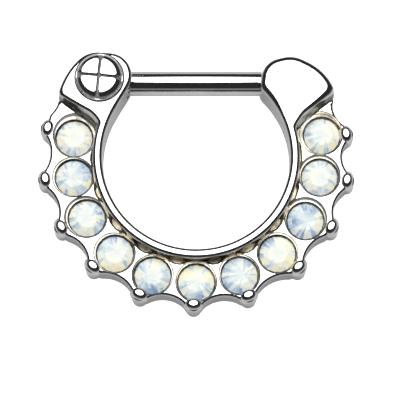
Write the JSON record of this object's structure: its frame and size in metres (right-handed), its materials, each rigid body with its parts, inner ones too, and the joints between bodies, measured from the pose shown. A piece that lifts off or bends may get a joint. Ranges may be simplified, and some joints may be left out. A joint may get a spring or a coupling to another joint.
{
  "type": "hinged clicker ring",
  "caption": "Hinged half-round jewellery ring with a row of round faceted opal stones and a straight bar that swings open on a screw.",
  "frame": {"origin": "on the flat back, under the middle of the ring's outline", "axes": "+X to the ring's right along the bar, +Y towards the bar, +Z from the flat back to the stones; the ring lies on its back"},
  "size_m": [0.0152, 0.0126, 0.0028],
  "materials": {
    "steel": "mirror-polished surgical steel",
    "opal": "milky faceted opal glass with blue and cream fire"
  },
  "bodies": {
    "ring": {"ring_frame": "steel", "hinge_screw": "steel", "stone_01": "opal", "stone_02": "opal", "stone_03": "opal", "stone_04": "opal", "stone_05": "opal", "stone_06": "opal", "stone_07": "opal", "stone_08": "opal", "stone_09": "opal", "stone_10": "opal", "stone_11": "opal"},
    "bar": {"bar": "steel"}
  },
  "joints": [
    {"name": "bar_hinge", "type": "hinge", "parent": "ring", "child": "bar", "pos_m": [-0.00465, 0.00498, 0.0012], "axis": [0, 0, 1], "range_deg": [0, 110]}
  ]
}
